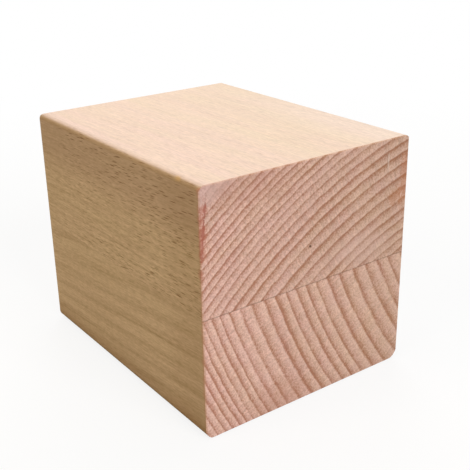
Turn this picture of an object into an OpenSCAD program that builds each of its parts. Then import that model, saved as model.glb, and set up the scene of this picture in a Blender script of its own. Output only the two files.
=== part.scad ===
// Square furniture foot, glued up from two beech staves.
// It lies on one long side: the grain runs along Y, and both sawn ends face along Y.
// The origin is at the middle of the side that it lies on.

/* [Staves] */
// Width of both staves, across the grain
stave_w = 80; // [40:1:160]
// Length of both staves, along the grain
stave_l = 100; // [40:1:250]
// Thickness of the lower stave, up to the glue line
lower_stave_t = 40; // [20:1:80]
// Thickness of the upper stave, above the glue line
upper_stave_t = 40; // [20:1:80]

/* [Rounded long edges] */
// Radius of the top edge on the left
top_left_r = 1.9; // [0.5:0.1:10]
// Radius of the top edge on the right
top_right_r = 2; // [0.5:0.1:10]
// Radius of the bottom edge on the left
bottom_left_r = 3.2; // [0.5:0.1:10]
// Radius of the bottom edge on the right
bottom_right_r = 4.5; // [0.5:0.1:10]

/* [Sawn ends] */
// Width of the fine bevel that is sanded around both ends
end_ease = 0.3; // [0.1:0.1:2]

/* [Hidden] */
$fn = 128;

// Height of the glued block
foot_h = lower_stave_t + upper_stave_t;
// Sides of the block, to the left and right of the origin
left_x = -stave_w / 2;
right_x = stave_w / 2;
// Colours of the two staves
lower_beech = [0.86, 0.69, 0.54];
upper_beech = [0.89, 0.73, 0.58];

// What a rounded edge of radius r takes off a square corner
module corner_waste(r) {
    difference() {
        square(r);
        translate([r, r])
            circle(r);
    }
}

// Section of the whole foot across the grain, with X across it and Y up
module foot_section() {
    difference() {
        translate([left_x, 0])
            square([stave_w, foot_h]);
        translate([left_x, 0])
            corner_waste(bottom_left_r);
        translate([right_x, 0])
            mirror([1, 0])
                corner_waste(bottom_right_r);
        translate([left_x, foot_h])
            mirror([0, 1])
                corner_waste(top_left_r);
        translate([right_x, foot_h])
            rotate(180)
                corner_waste(top_right_r);
    }
}

// Outline l long in X and w wide in Y, with its corners cut off by the easing of the ends
module eased_outline(l, w) {
    end_x = l / 2;
    side_y = w / 2;
    polygon([
        [end_x, side_y - end_ease],
        [end_x - end_ease, side_y],
        [end_ease - end_x, side_y],
        [-end_x, side_y - end_ease],
        [-end_x, end_ease - side_y],
        [end_ease - end_x, -side_y],
        [end_x - end_ease, -side_y],
        [end_x, end_ease - side_y]
    ]);
}

// The eased outline seen from above, as deep as the block is high
module eased_plan() {
    linear_extrude(foot_h)
        rotate(90)
            eased_outline(stave_l, stave_w);
}

// The eased outline seen from the side, as deep as the block is wide
module eased_side() {
    translate([left_x, 0, foot_h / 2])
        rotate([90, 0, 90])
            linear_extrude(stave_w)
                eased_outline(stave_l, foot_h);
}

// The layer of the foot that starts at height z and is t thick, planed flat where it is glued
module stave(z, t) {
    intersection() {
        translate([0, stave_l / 2, 0])
            rotate([90, 0, 0])
                linear_extrude(stave_l)
                    intersection() {
                        foot_section();
                        translate([left_x, z])
                            square([stave_w, t]);
                    }
        eased_plan();
        eased_side();
    }
}

module lower_stave() {
    color(lower_beech)
        stave(0, lower_stave_t);
}

module upper_stave() {
    color(upper_beech)
        stave(lower_stave_t, upper_stave_t);
}

lower_stave();
upper_stave();
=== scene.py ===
import bmesh
import bpy
import math
from mathutils import Matrix, Vector
from types import SimpleNamespace


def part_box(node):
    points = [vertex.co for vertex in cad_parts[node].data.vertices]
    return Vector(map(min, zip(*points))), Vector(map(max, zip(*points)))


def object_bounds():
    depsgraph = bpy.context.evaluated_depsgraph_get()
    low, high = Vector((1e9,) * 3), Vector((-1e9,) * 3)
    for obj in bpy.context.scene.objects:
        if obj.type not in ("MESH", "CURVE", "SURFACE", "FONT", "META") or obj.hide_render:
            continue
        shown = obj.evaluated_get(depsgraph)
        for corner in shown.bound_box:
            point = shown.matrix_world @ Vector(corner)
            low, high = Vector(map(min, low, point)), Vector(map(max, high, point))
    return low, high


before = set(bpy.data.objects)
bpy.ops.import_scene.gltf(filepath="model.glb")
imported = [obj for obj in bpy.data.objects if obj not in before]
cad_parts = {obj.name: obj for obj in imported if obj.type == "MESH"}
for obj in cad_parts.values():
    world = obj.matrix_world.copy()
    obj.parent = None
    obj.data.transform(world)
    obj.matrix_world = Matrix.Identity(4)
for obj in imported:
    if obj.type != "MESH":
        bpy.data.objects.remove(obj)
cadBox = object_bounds()
print("frame loaded:", ", ".join(sorted(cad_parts)))


class Wire:
    # a node's output, so that shader maths can be written as sums
    def __init__(self, tree, socket=None):
        self.tree = tree
        self.socket = socket

    def add(self, kind, settings=None, inputs=None, output=0):
        made = self.tree.nodes.new("ShaderNode" + kind)
        for name, value in (settings or {}).items():
            if name == "stops":
                placeStops(made.color_ramp, value)
            else:
                setattr(made, name, value)
        for name, value in (inputs or {}).items():
            socket = pick(made.inputs, name)
            if isinstance(value, Wire):
                self.tree.links.new(value.socket, socket)
            else:
                socket.default_value = value
        return Wire(self.tree, pick(made.outputs, output)) if len(made.outputs) else None

    def also(self, output):  # another output of the same node
        return Wire(self.tree, pick(self.socket.node.outputs, output))

    def maths(self, operation, *values):
        return self.add("Math", {"operation": operation}, dict(enumerate(values)))

    def __add__(self, other):
        return self.maths("ADD", self, other)

    def __radd__(self, other):
        return self.maths("ADD", other, self)

    def __sub__(self, other):
        return self.maths("SUBTRACT", self, other)

    def __rsub__(self, other):
        return self.maths("SUBTRACT", other, self)

    def __mul__(self, other):
        return self.maths("MULTIPLY", self, other)

    def __rmul__(self, other):
        return self.maths("MULTIPLY", other, self)

    def __abs__(self):
        return self.maths("ABSOLUTE", self)


def pick(sockets, name):  # sockets that a node's settings switch off don't count
    shown = [s for s in sockets if s.enabled]
    return shown[name] if isinstance(name, int) else next(s for s in shown if s.name == name)


def placeStops(ramp, stops):
    while len(ramp.elements) < len(stops):
        ramp.elements.new(1.0)
    for element, (place, grey) in zip(ramp.elements, stops):
        element.position = place
        element.color = (grey, grey, grey, 1.0)


def paint(red, green, blue):  # a colour as a picture program gives it
    def linear(c):
        c = c / 255
        return c / 12.92 if c <= 0.04045 else ((c + 0.055) / 1.055) ** 2.4

    return (linear(red), linear(green), linear(blue), 1.0)


def blend(share, below, above, kind="MIX"):
    colours = {"Factor": share, "A": below, "B": above}
    source = next(w for w in (share, below, above) if isinstance(w, Wire))
    return source.add("Mix", {"data_type": "RGBA", "blend_type": kind}, colours)


def between(share, tints):  # a colour from the first tint to the second
    return blend(share, paint(*tints[0]), paint(*tints[1]))


def darken(colour, shade):  # a colour times a number
    grey = shade.add("CombineXYZ", {}, {0: shade, 1: shade, 2: shade})
    return blend(1.0, colour, grey, "MULTIPLY")


def fade(value, start, end):  # 0 before start, 1 after end, and soft between them
    limits = {"Value": value, "From Min": start, "From Max": end, "To Min": 0.0, "To Max": 1.0}
    if start > end:
        limits.update({"From Min": end, "From Max": start, "To Min": 1.0, "To Max": 0.0})
    return value.add("MapRange", {"interpolation_type": "SMOOTHSTEP"}, limits)


def divided(spot, size):
    return spot.add("VectorMath", {"operation": "DIVIDE"}, {0: spot, 1: size})


def minus(spot, other):
    return spot.add("VectorMath", {"operation": "SUBTRACT"}, {0: spot, 1: other})


def grains(spot, size, detail=2.0):  # noise from about -1 to 1, with grains of that size in mm
    noise = spot.add("TexNoise", {}, {"Vector": divided(spot, size), "Scale": 1.0, "Detail": detail})
    return (noise - 0.5) * 4.0


def newTree(owner):
    owner.use_nodes = True
    owner.node_tree.nodes.clear()
    return Wire(owner.node_tree)


# the foot in mm
mm = 1000.0
frontY = cadBox[0].y * mm
footLength = (cadBox[1].y - cadBox[0].y) * mm
halfWidth = cadBox[1].x * mm
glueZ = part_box("lower_stave")[1].z * mm

# where each stave was cut from its tree, how clear its grain is, and its marks; sizes in mm
upperStave = {
    "node": "upper_stave",
    "pith": (82.0, -80.0),  # the tree's middle, across and up from the foot's origin
    "darkLine": 132.15,  # a ring line's distance from the pith
    "ringsPerMm": 0.2761,
    "crowding": 0.00106,  # rings get closer together outwards
    "goodYears": [(0.573, 59.0, 7.0)],  # share of a ring, wave length and offset
    "ringShift": 0.611,
    "lean": 0.0,  # how fast the rings close in along the grain
    "fibreLean": 0.03,  # slope of the grain
    "lastYears": 52.0,  # beyond this the wood is greyer
    "flecks": 0.82,
    "bands": 0.17,
    "streaks": 0.1,
    "fibres": 0.12,
    "rays": 0.055,
    "endLight": 0.97,
    "marks": [  # each has its middle, half sizes, lean for each mm up, raggedness, colour and strength
        # pin knot
        {"at": (-0.6, frontY, 52.6), "half": (0.65, 0.6, 0.65), "lean": 0.0,
         "ragged": 0.1, "colour": (92, 58, 42), "share": 0.85},
        # tear beside the left edge, its stain and the line along the edge
        {"at": (-38.9, frontY, 67.4), "half": (0.65, 0.6, 13.5), "lean": 0.107,
         "ragged": 0.4, "colour": (150, 66, 50), "share": 0.7},
        {"at": (-39.4, frontY, 66.0), "half": (2.0, 0.8, 14.0), "lean": 0.06,
         "ragged": 0.4, "colour": (204, 126, 106), "share": 0.5},
        {"at": (-halfWidth, frontY, 60.0), "half": (0.7, 0.7, 20.0), "lean": 0.0,
         "ragged": 0.5, "colour": (170, 98, 78), "share": 0.3},
        # scratch
        {"at": (31.2, frontY, 72.0), "half": (0.5, 0.6, 4.2), "lean": 0.0,
         "ragged": 0.3, "colour": (240, 222, 208), "share": 0.4},
        # brown wood towards the right edge and below the top, paler wood above the glue
        {"at": (38.5, frontY, 66.0), "half": (3.0, 0.8, 14.0), "lean": 0.0,
         "ragged": 0.4, "colour": (196, 124, 84), "share": 0.4},
        {"at": (35.5, frontY, 60.5), "half": (5.5, 0.8, 3.2), "lean": 0.0,
         "ragged": 0.4, "colour": (198, 132, 92), "share": 0.35},
        {"at": (-22.0, frontY, 76.0), "half": (22.0, 0.8, 9.0), "lean": 0.0,
         "ragged": 0.2, "colour": (188, 130, 108), "share": 0.2},
        {"at": (21.0, frontY, 46.0), "half": (17.0, 0.8, 8.0), "lean": 0.0,
         "ragged": 0.2, "colour": (240, 208, 196), "share": 0.25},
        # yellow spot on the top left edge
        {"at": (-39.2, frontY + 11.0, 79.2), "half": (1.2, 2.2, 1.2), "lean": 0.0,
         "ragged": 0.3, "colour": (222, 176, 106), "share": 0.5},
    ],
}

lowerStave = {
    "node": "lower_stave",
    "pith": (197.6, 120.4),
    "darkLine": 187.15,
    "ringsPerMm": 0.1766,
    "crowding": 0.001251,
    "goodYears": [(0.298, 54.0, -10.4), (0.293, 37.0, 5.4)],
    "ringShift": -0.035,
    "lean": 0.039,
    "fibreLean": 0.06,
    "lastYears": 200.0,
    "flecks": 0.16,
    "bands": 0.24,
    "streaks": 0.11,
    "fibres": 0.09,
    "rays": 0.06,
    "endLight": 1.03,
    "marks": [
        # browner towards the bottom
        {"at": (-12.0, frontY, 3.0), "half": (17.0, 0.8, 12.0), "lean": 0.0,
         "ragged": 0.2, "colour": (182, 122, 92), "share": 0.25},
    ],
}


# how both staves grew; grain sizes are across, along and up, or along a ring, along the grain and outwards
growth = {
    "sway": 0.7,  # how far a ring strays by the far end
    "swaySize": (40.0, 80.0, 40.0),
    "waver": 0.2,  # and how much it wavers everywhere
    "waverSize": (6.0, 60.0, 6.0),
    "ringsBefore": 99.0,  # so that no ring counts below zero
    "contrast": 0.61,  # of the rings, and what a year and a patch add to it
    "contrastByYear": 0.4,
    "contrastByPatch": 0.22,
    "patchSize": (14.0, 50.0, 3.5),
    "greyWithin": 11.0,  # the last years turn grey over this much wood
    "poreSize": (0.48, 1.5, 0.48),
    "blotchSize": (2.6, 9.0, 2.6),
    "cloudSize": (24.0, 70.0, 24.0),
    "tanSize": (7.0, 40.0, 4.0),  # patches from pink to tan
    "tanRange": (-0.9, 0.9),
    "tan": 0.2,  # everywhere, then by patch, by year and towards the right
    "tanByPatch": 0.4,
    "tanByYear": 0.2,
    "tanToRight": 0.3,
}


def growWood(start, stave):
    # where the point lies in the tree
    metres = start.add("TexCoord", output="Object")
    spot = start.add("VectorMath", {"operation": "SCALE"}, {0: metres, "Scale": mm})
    x = start.add("SeparateXYZ", {}, {0: spot}, "X")
    y = x.also("Y")
    z = x.also("Z")
    back = y - frontY
    leftward = x * (-1 / halfWidth)
    stray = grains(spot, growth["swaySize"]) * back * (growth["sway"] / footLength)
    waver = grains(spot, growth["waverSize"]) * growth["waver"]
    fromX = x - stave["pith"][0]
    fromZ = z - stave["pith"][1]
    reach = start.maths("SQRT", fromX * fromX + fromZ * fromZ) - back * stave["lean"] + stray + waver
    arc = start.maths("ARCTAN2", fromZ, fromX) * stave["darkLine"] - back * stave["fibreLean"]
    ray = start.add("CombineXYZ", {}, {0: arc, 1: y, 2: reach})

    # growth rings, counted outwards
    out = reach - stave["darkLine"]
    rings = out * stave["ringsPerMm"] + out * out * stave["crowding"]
    rings = rings + (stave["ringShift"] + growth["ringsBefore"])
    for share, wave, offset in stave["goodYears"]:
        rings = rings + start.maths("SINE", (out + offset) * (2 * math.pi / wave)) * share
    year = start.maths("FLOOR", rings)
    luck = start.add("TexWhiteNoise", {"noise_dimensions": "1D"}, {"W": year})
    warmth = start.add("TexWhiteNoise", {"noise_dimensions": "1D"}, {"W": year + 0.5})  # a second draw
    contrast = growth["contrast"] + luck * growth["contrastByYear"]
    contrast = contrast + grains(ray, growth["patchSize"]) * growth["contrastByPatch"]

    tanShare = fade(grains(ray, growth["tanSize"]), *growth["tanRange"]) * growth["tanByPatch"]
    tanShare = tanShare + warmth * growth["tanByYear"] + growth["tan"] - leftward * growth["tanToRight"]
    return SimpleNamespace(
        spot=spot, y=y, z=z, back=back, leftward=leftward, reach=reach, arc=arc, ray=ray, out=out,
        part=start.maths("FRACT", rings), year=year, contrast=contrast, tanShare=tanShare,
        late=fade(out, stave["lastYears"], stave["lastYears"] + growth["greyWithin"]),
        pores=grains(spot, growth["poreSize"], detail=1.0),
        blotch=grains(spot, growth["blotchSize"]),
        cloud=grains(spot, growth["cloudSize"], detail=1.0),
    )


# how far a surface has to turn to count as an end, the top or a side
facing = {
    "end": (0.5, 0.8),
    "top": (0.6, 0.97),
    "side": (0.97, 0.6),
}


def findFaces(start):
    normal = start.add("TexCoord", output="Normal")
    endward = start.add("SeparateXYZ", {}, {0: normal}, "Y")
    upward = endward.also("Z")
    return SimpleNamespace(
        upward=upward,
        end=fade(abs(endward), *facing["end"]),
        top=fade(upward, *facing["top"]),
        side=fade(abs(upward), *facing["side"]),
    )


# end grain: sharp rings, crossed by fine rays
endGrain = {
    "pale": [(243, 204, 192), (241, 206, 183)],  # from pink to tan
    "dark": [(187, 130, 110), (184, 133, 102)],
    "ramp": [(0.0, 1.0), (0.07, 0.7), (0.14, 0.07), (0.22, 0.0), (0.36, 0.12), (0.55, 0.26), (0.72, 0.46),
             (0.86, 0.68), (0.95, 0.97), (1.0, 1.0)],
    "brown": 0.135,  # between the rings
    "pores": 0.33,
    "blotches": 0.06,
    "raySize": (0.5, 3.0, 8.0),
    "rayStep": 5.3,  # rays end at a ring and go on beside it
    "outer": (228, 192, 184),  # the very last years
    "outerFrom": (9.0, 12.0),
    "outerShare": 0.6,
    "clouds": 0.02,
    # painted light: the end is lighter towards the left
    "paintedLightLeft": 0.1,
    "lateShade": 0.1,
}


def endLook(start, stave, wood):
    tone = start.add("ValToRGB", {"stops": endGrain["ramp"]}, {0: wood.part}) * wood.contrast
    tone = tone + endGrain["brown"] - wood.pores * endGrain["pores"] - wood.blotch * endGrain["blotches"]
    colour = blend(tone, between(wood.tanShare, endGrain["pale"]), between(wood.tanShare, endGrain["dark"]))
    outer = fade(wood.out, *(stave["lastYears"] + depth for depth in endGrain["outerFrom"]))
    colour = blend(outer * endGrain["outerShare"], colour, paint(*endGrain["outer"]))

    stepped = wood.arc + wood.year * endGrain["rayStep"]
    brokenRay = start.add("CombineXYZ", {}, {0: stepped, 1: wood.y, 2: wood.reach})
    shade = stave["endLight"] + grains(brokenRay, endGrain["raySize"], detail=0.0) * stave["rays"]
    # painted light: lighter towards the left
    shade = shade + wood.cloud * endGrain["clouds"] + wood.leftward * endGrain["paintedLightLeft"]
    return colour, shade - wood.late * endGrain["lateShade"]


# long grain: soft bands, and short dark flecks with pale rims where rays come out
longGrain = {
    "ramp": [(0.0, 0.55), (0.22, 0.0), (0.55, 0.25), (0.88, 1.0), (1.0, 0.55)],
    "fibreSize": (0.3, 3.8, 0.3),
    "streakSize": (0.5, 40.0, 0.7),
    "fleckCells": [(0.27, 7.6, 2.0), (0.23, 6.2, 1.7)],  # room for one ray across, along and into the wood
    "fleckSize": (0.3, 0.1),  # share of its room
    "rimSize": (0.66, 0.4),
    "fleck": (136, 90, 42),
    "finerFlecks": 0.8,  # how much the second, finer lot shows
    "finerRims": 0.6,
    "fleckPatch": (9.0, 30.0, 9.0),
    "fleckRange": (-2.2, -0.3),
    "fewerBack": 0.018,
    "late": (206, 162, 134),
    "lateSide": 0.3,
    "lateTop": 0.03,
    "lateShade": 0.1,
    "clouds": 0.02,
}

side = {
    "pale": [(245, 213, 172), (243, 214, 169)],
    "dark": (172, 137, 93),
    "brown": 0.3,
    "pores": 0.11,
    "rims": 0.08,
    "paintedShadeBrown": (150, 104, 56),  # painted shade: browner towards the lower edge and the front
    "lowEdge": (11.0, 1.0),
    "lowShare": 0.4,
    "frontEdge": (26.0, 5.0),
    "frontShare": 0.17,
}

top = {
    "pale": [(241, 213, 197), (238, 216, 190)],
    "dark": (231, 200, 174),
    "paintedSheen": (250, 232, 226),  # painted sheen: whiter towards the right front corner
    "sheenRight": (-0.3, -1.0),
    "sheenFront": (120.0, 0.0),
    "sheenShare": 0.4,
    "edgeShadeTurn": (0.03, 0.3),  # painted shade: the rounded edges are browner, and so is the top beside the left one
    "edgeShadeShare": 0.48,
    "leftShadeStrip": (0.92, 0.965),
    "leftShadeShare": 0.18,
    "fleckShare": 0.22,  # how much of the flecks, fibres with pores, and streaks shows here
    "grain": 0.048,
    "streaks": 0.42,
}


def rayFlecks(start, stave, wood):
    flecks = None
    for size in longGrain["fleckCells"]:
        lens = start.add("TexVoronoi", {}, {"Vector": divided(wood.ray, size), "Scale": 1.0}, "Distance")
        dark = fade(lens, *longGrain["fleckSize"])
        pale = fade(lens, *longGrain["rimSize"])
        if flecks is None:
            flecks = dark
            rims = pale
        else:
            flecks = start.maths("MAXIMUM", flecks, dark * longGrain["finerFlecks"])
            rims = start.maths("MAXIMUM", rims, pale * longGrain["finerRims"])
    patchy = grains(wood.spot, longGrain["fleckPatch"]) - wood.back * longGrain["fewerBack"]
    patchy = fade(patchy, *longGrain["fleckRange"]) * stave["flecks"]
    return flecks * patchy, rims * patchy


def longLook(start, stave, wood, faces):
    bands = start.add("ValToRGB", {"stops": longGrain["ramp"]}, {0: wood.part})
    bands = bands * wood.contrast * stave["bands"]
    streaks = grains(wood.ray, longGrain["streakSize"], detail=1.0) * stave["streaks"]

    sideTone = bands + side["brown"] - wood.fibres * stave["fibres"] - wood.pores * side["pores"]
    sideTone = sideTone - streaks - wood.rims * side["rims"]
    sideColour = blend(sideTone, between(wood.tanShare, side["pale"]), paint(*side["dark"]))
    topColour = blend(bands, between(wood.tanShare, top["pale"]), paint(*top["dark"]))
    # painted sheen: the top turns whiter towards the right front corner
    sheenMask = fade(wood.leftward, *top["sheenRight"]) * fade(wood.back, *top["sheenFront"])
    topColour = blend(sheenMask * top["sheenShare"], topColour, paint(*top["paintedSheen"]))
    colour = blend(faces.top, sideColour, topColour)

    lateShare = longGrain["lateSide"] - faces.top * (longGrain["lateSide"] - longGrain["lateTop"])
    colour = blend(wood.late * lateShare, colour, paint(*longGrain["late"]))
    # painted shade on the sides: browner towards the lower edge and the front
    paintedShade = fade(wood.z, *side["lowEdge"]) * side["lowShare"]
    paintedShade = paintedShade + fade(wood.back, *side["frontEdge"]) * side["frontShare"]
    colour = blend(paintedShade * faces.side, colour, paint(*side["paintedShadeBrown"]))
    # painted shade on the rounded edges and on the top beside the left edge
    edgeShade = fade(faces.upward, *top["edgeShadeTurn"]) * (1.0 - faces.top) * top["edgeShadeShare"]
    edgeShade = edgeShade + fade(wood.leftward, *top["leftShadeStrip"]) * faces.top * top["leftShadeShare"]
    colour = blend(edgeShade, colour, paint(*side["dark"]))
    fleckShare = 1.0 - faces.top * (1 - top["fleckShare"])
    colour = blend(wood.flecks * fleckShare, colour, paint(*longGrain["fleck"]))

    topGrain = (wood.fibres + wood.pores) * top["grain"] + streaks * top["streaks"]
    shade = 1.0 + topGrain * faces.top + wood.cloud * longGrain["clouds"]
    return colour, shade - wood.late * (1.0 - faces.top) * longGrain["lateShade"]


# what lies over the grain: torn fibres beside the saw cut, marks and glue; then the sanded surface
sawCut = {"colour": (214, 150, 122), "reach": (1.5, 0.2), "ragged": 0.7, "share": 0.5}
marking = {"edge": (1.0, 0.3), "pores": 0.6}
glueLine = {"colour": (128, 84, 64), "width": (0.3, 0.08), "ragged": 0.08, "side": 0.08, "end": 0.44}
sanding = {
    "roughness": 0.78,
    "fibreRoughness": 0.03,
    "endRoughness": 0.12,
    "sheen": 0.06,
    "fibreHeight": 0.008,
    "poreHeight": 0.008,
    "fleckDepth": 0.07,
    "bump": 0.6,
    "bumpDepth": 0.001,
}


def addMarks(start, stave, wood, colour):
    edge = wood.blotch + wood.pores * marking["pores"]
    for mark in stave["marks"]:
        lean = start.add("CombineXYZ", {}, {0: (wood.z - mark["at"][2]) * mark["lean"]})
        offset = minus(minus(wood.spot, lean), mark["at"])
        away = start.add("VectorMath", {"operation": "LENGTH"}, {0: divided(offset, mark["half"])}, "Value")
        stain = fade(away + edge * mark["ragged"], *marking["edge"]) * mark["share"]
        colour = blend(stain, colour, paint(*mark["colour"]))
    return colour


def beechFinish(stave):
    finish = bpy.data.materials.new(stave["node"] + "_beech")
    start = newTree(finish)
    wood = growWood(start, stave)
    faces = findFaces(start)
    wood.fibres = grains(wood.ray, longGrain["fibreSize"], detail=0.0)
    wood.flecks, wood.rims = rayFlecks(start, stave, wood)
    endColour, endShade = endLook(start, stave, wood)
    longColour, longShade = longLook(start, stave, wood, faces)
    shade = longShade + (endShade - longShade) * faces.end
    colour = darken(blend(faces.end, longColour, endColour), shade)

    torn = fade(wood.back + wood.blotch * sawCut["ragged"], *sawCut["reach"])
    torn = torn * (1.0 - faces.end) * (1.0 - faces.top)
    colour = blend(torn * sawCut["share"], colour, paint(*sawCut["colour"]))
    colour = addMarks(start, stave, wood, colour)
    glue = fade(abs(wood.z - glueZ) + wood.pores * glueLine["ragged"], *glueLine["width"])
    glue = glue * (glueLine["side"] + faces.end * (glueLine["end"] - glueLine["side"]))
    colour = blend(glue, colour, paint(*glueLine["colour"]))

    height = wood.fibres * sanding["fibreHeight"] - wood.flecks * sanding["fleckDepth"]
    height = height + wood.pores * sanding["poreHeight"]
    relief = {"Strength": sanding["bump"], "Distance": sanding["bumpDepth"], "Height": height}
    rough = sanding["roughness"] + wood.fibres * sanding["fibreRoughness"]
    rough = rough + faces.end * sanding["endRoughness"]
    surface = start.add("BsdfPrincipled", {}, {
        "Base Color": colour,
        "Roughness": rough,
        "Specular IOR Level": sanding["sheen"],
        "Normal": start.add("Bump", {}, relief, "Normal"),
    })
    start.add("OutputMaterial", {}, {"Surface": surface})
    return finish


for stave in (upperStave, lowerStave):
    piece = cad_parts[stave["node"]]
    piece.data.materials.clear()
    piece.data.materials.append(beechFinish(stave))
print("staves finished")


studio = {
    "floorSide": 6.0,
    "bounce": (160, 153, 144),  # what the floor throws back on the foot
    "floor": (245, 244, 242),
    "ownWhite": 0.85,  # how much of the floor's white is its own near the foot, the rest takes the shadow
    "plainFrom": (0.12, 0.42),  # further away than this it has no shadow
    "white": (1.0, 1.0, 1.0, 1.0),
    "whiteLight": 1.0,
    "worldLight": 0.12,
}


def seenDirectly(start, mirrored):  # 1 where the eye looks at the background, or the wood's sheen does
    ray = start.add("LightPath", output="Is Camera Ray")
    return ray.maths("MAXIMUM", ray, ray.also("Is Glossy Ray")) if mirrored else ray


def buildFloor():
    mesh = bpy.data.meshes.new("floor")
    form = bmesh.new()
    bmesh.ops.create_grid(form, x_segments=1, y_segments=1, size=studio["floorSide"] / 2)
    form.to_mesh(mesh)
    form.free()
    floor = bpy.data.objects.new("floor", mesh)
    floor.location.z = cadBox[0].z
    bpy.context.scene.collection.objects.link(floor)
    pale = bpy.data.materials.new("pale_floor")
    start = newTree(pale)
    spot = start.add("TexCoord", output="Object")
    away = start.add("VectorMath", {"operation": "LENGTH"}, {0: spot}, "Value")
    ownShare = studio["ownWhite"] + fade(away, *studio["plainFrom"]) * (1 - studio["ownWhite"])
    white = start.add("Emission", {}, {"Color": studio["white"], "Strength": studio["whiteLight"]})
    matt = start.add("BsdfDiffuse", {}, {"Color": paint(*studio["floor"])})
    shown = start.add("MixShader", {}, {0: ownShare, 1: matt, 2: white})
    bounce = start.add("BsdfDiffuse", {}, {"Color": paint(*studio["bounce"])})
    both = start.add("MixShader", {}, {0: seenDirectly(start, False), 1: bounce, 2: shown})
    start.add("OutputMaterial", {}, {"Surface": both})
    mesh.materials.append(pale)


def lightWorld():
    world = bpy.data.worlds.new("studio")
    start = newTree(world)
    soft = start.add("Background", {}, {"Color": studio["white"], "Strength": studio["worldLight"]})
    white = start.add("Background", {}, {"Color": studio["white"], "Strength": studio["whiteLight"]})
    both = start.add("MixShader", {}, {0: seenDirectly(start, True), 1: soft, 2: white})
    start.add("OutputWorld", {}, {"Surface": both})
    bpy.context.scene.world = world


# place, side and watts of each soft box, aimed at the middle of the foot
softBoxes = {
    "overhead": {"place": (0.1, 0.1, 1.1), "side": 0.9, "watts": 4.3, "colour": (1.0, 1.0, 1.0)},
    "front": {"place": (0.05, -1.2, 0.7), "side": 0.7, "watts": 11.6, "colour": (1.0, 1.0, 1.0)},
    "backFill": {"place": (0.7, 1.0, 0.55), "side": 0.8, "watts": 7.5, "colour": (1.0, 1.0, 1.0)},
    "left": {"place": (-0.95, 0.05, 0.75), "side": 0.7, "watts": 4.7, "colour": (1.0, 0.9, 0.72)},
}


def hangSoftBoxes():
    middle = (cadBox[0] + cadBox[1]) / 2
    for name, box in softBoxes.items():
        lamp = bpy.data.lights.new(name, "AREA")
        lamp.shape = "SQUARE"
        lamp.size = box["side"]
        lamp.energy = box["watts"]
        lamp.color = box["colour"]
        hung = bpy.data.objects.new(name, lamp)
        hung.location = box["place"]
        hung.rotation_euler = (middle - hung.location).to_track_quat("-Z", "Y").to_euler()
        bpy.context.scene.collection.objects.link(hung)


# where the photograph was taken from, found from the block's edges
viewpoint = {
    "place": (-0.15535, -0.22533, 0.15276),
    "azimuth": -35.91,
    "elevation": 22.43,
    "roll": -1.05,
    "focalPixels": 844.9,
    "imagePixels": 470,
    "sensor": 36.0,
    "nearest": 0.01,
}


def setCamera():
    turn = math.radians(viewpoint["azimuth"])
    lift = math.radians(viewpoint["elevation"])
    back = Vector((math.sin(turn) * math.cos(lift), -math.cos(turn) * math.cos(lift), math.sin(lift)))
    right = Vector((0, 0, 1)).cross(back).normalized()
    up = back.cross(right)
    roll = Matrix.Rotation(math.radians(viewpoint["roll"]), 3, "Z")
    axes = Matrix((right, up, back)).transposed() @ roll
    lens = bpy.data.cameras.new("camera")
    lens.sensor_width = viewpoint["sensor"]
    lens.lens = viewpoint["focalPixels"] / viewpoint["imagePixels"] * viewpoint["sensor"]
    lens.clip_start = viewpoint["nearest"]
    camera = bpy.data.objects.new("camera", lens)
    camera.matrix_world = Matrix.Translation(viewpoint["place"]) @ axes.to_4x4()
    bpy.context.scene.collection.objects.link(camera)
    bpy.context.scene.camera = camera


buildFloor()
lightWorld()
hangSoftBoxes()
setCamera()
bpy.context.scene.view_settings.view_transform = "Standard"
print("studio and camera set")
